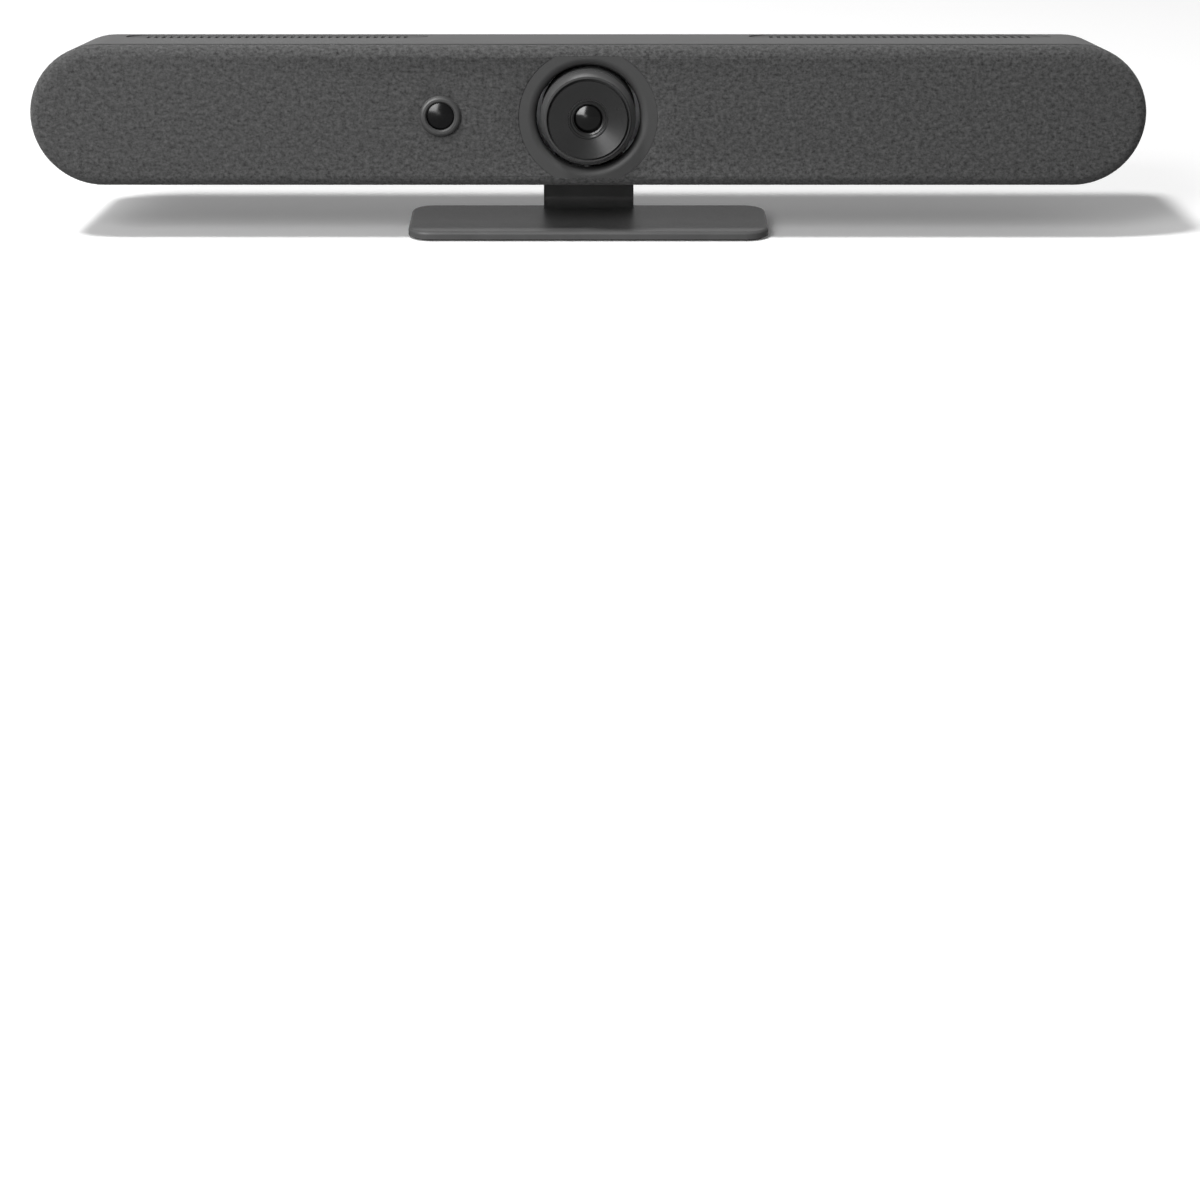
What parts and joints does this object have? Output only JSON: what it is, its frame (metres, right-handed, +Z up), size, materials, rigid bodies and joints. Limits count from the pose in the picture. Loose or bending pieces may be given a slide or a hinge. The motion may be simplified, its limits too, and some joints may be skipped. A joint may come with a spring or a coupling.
{
  "type": "conference camera",
  "caption": "Video bar for a meeting room: fabric-fronted speaker bar with a motorised camera eye, a fixed side camera and a bent-plate table stand.",
  "frame": {"origin": "centre of the bounding box's underside, on the table the stand rests on", "axes": "+X along the bar, to the viewer's right; +Y from the fabric front to the rear wall; +Z up"},
  "size_m": [0.721, 0.104, 0.128],
  "materials": {
    "fabric": "heathered dark grey woven speaker cloth, stretched",
    "frame_plastic": "fine black moulding grain",
    "bezel_plastic": "smooth satin, dark grey",
    "housing_plastic": "fine moulding grain, graphite grey",
    "trim_plastic": "fine moulding grain, near black",
    "chassis_aluminium": "plain rolled sheet",
    "board": "green solder resist",
    "chip": "moulded black package",
    "connector_steel": "tinned sheet",
    "inlet_plastic": "moulded black",
    "button_plastic": "satin graphite grey",
    "brass": "turned",
    "box_plastic": "plain black moulding",
    "basket_steel": "black coated stamping",
    "magnet_steel": "zinc plated",
    "cone_paper": "pressed dark cone",
    "rubber": "matt black",
    "yoke_metal": "die cast, plain",
    "gear_plastic": "natural acetal",
    "motor_steel": "plain can",
    "eye_plastic": "smooth satin, dark grey",
    "face_plastic": "satin near black",
    "holder_plastic": "plain black moulding",
    "lens_metal": "black anodised, turned",
    "lens_glass": "coated, polished",
    "finder_plastic": "smooth satin, dark grey",
    "stand_metal": "fine textured powder coat, graphite grey",
    "screw_steel": "zinc plated"
  },
  "bodies": {
    "bar": {"fabric_cover": "fabric", "front_frame": "frame_plastic", "camera_bezel": "bezel_plastic", "rear_housing": "housing_plastic", "vent_grilles": "trim_plastic", "port_panel": "trim_plastic", "chassis": "chassis_aluminium", "main_board": "board", "board_standoffs": "brass", "processor": "chip", "heat_sink": "chassis_aluminium", "port_board": "board", "port_board_posts": "brass", "power_inlet": "inlet_plastic", "network_jack": "connector_steel", "usb_ports": "connector_steel", "usb_c_port": "connector_steel", "hdmi_ports": "connector_steel", "button_board": "board", "speaker_box_left": "box_plastic", "speaker_box_right": "box_plastic", "driver_basket_left": "basket_steel", "driver_basket_right": "basket_steel", "driver_magnet_left": "magnet_steel", "driver_magnet_right": "magnet_steel", "speaker_gaskets": "rubber", "rubber_mounts": "rubber", "microphone_boards": "board", "camera_bracket": "chassis_aluminium", "pan_bushing": "brass", "pan_motor": "motor_steel", "finder_ring": "finder_plastic", "finder_glass": "lens_glass", "finder_barrel": "holder_plastic", "finder_board": "board", "stand_plate": "stand_metal", "stand_pad": "rubber", "stand_screws": "screw_steel", "housing_screws": "screw_steel", "threaded_inserts": "brass"},
    "pan_head": {"pan_yoke": "yoke_metal", "pan_gear": "gear_plastic", "tilt_motor": "motor_steel"},
    "camera_eye": {"eye_shell": "eye_plastic", "eye_face": "face_plastic", "lens_holder": "holder_plastic", "lens_barrel": "lens_metal", "lens_glass": "lens_glass", "inner_lens": "lens_glass", "sensor_board": "board", "tilt_pins": "screw_steel", "tilt_gear": "gear_plastic"},
    "pan_drive": {"pan_pinion": "gear_plastic"},
    "tilt_drive": {"tilt_pinion": "gear_plastic"},
    "power_key": {"power_button": "button_plastic"},
    "pairing_key": {"pairing_button": "button_plastic"},
    "cone_left": {"speaker_cone_left": "cone_paper", "cone_surround_left": "rubber"},
    "cone_right": {"speaker_cone_right": "cone_paper", "cone_surround_right": "rubber"}
  },
  "joints": [
    {"name": "eye_pan", "type": "hinge", "parent": "bar", "child": "pan_head", "pos_m": [0, -0.03331, 0.0825], "axis": [0, 0, 1], "range_deg": [-25, 25]},
    {"name": "eye_tilt", "type": "hinge", "parent": "pan_head", "child": "camera_eye", "pos_m": [0, -0.03331, 0.0825], "axis": [1, 0, 0], "range_deg": [-15, 15]},
    {"name": "pan_pinion_spin", "type": "hinge", "parent": "bar", "child": "pan_drive", "pos_m": [0, -0.00931, 0.046], "axis": [0, 0, 1], "range_deg": [-105, 105]},
    {"name": "tilt_pinion_spin", "type": "hinge", "parent": "pan_head", "child": "tilt_drive", "pos_m": [0.0242, -0.0225, 0.07493], "axis": [1, 0, 0], "range_deg": [-54, 54]},
    {"name": "power_press", "type": "slide", "parent": "bar", "child": "power_key", "axis": [0, -1, 0], "range_m": [0, 0.0006], "stiffness_N_per_m": 500, "springref_m": -0.0006},
    {"name": "pairing_press", "type": "slide", "parent": "bar", "child": "pairing_key", "axis": [0, -1, 0], "range_m": [0, 0.0006], "stiffness_N_per_m": 500, "springref_m": -0.0006},
    {"name": "cone_left_stroke", "type": "slide", "parent": "bar", "child": "cone_left", "axis": [0, -1, 0], "range_m": [-0.0015, 0.0015], "stiffness_N_per_m": 1200},
    {"name": "cone_right_stroke", "type": "slide", "parent": "bar", "child": "cone_right", "axis": [0, -1, 0], "range_m": [-0.0015, 0.0015], "stiffness_N_per_m": 1200}
  ],
  "couplings": [
    {"joint": "pan_pinion_spin", "follows": "eye_pan", "ratio": -4},
    {"joint": "tilt_pinion_spin", "follows": "eye_tilt", "ratio": -3.4}
  ]
}
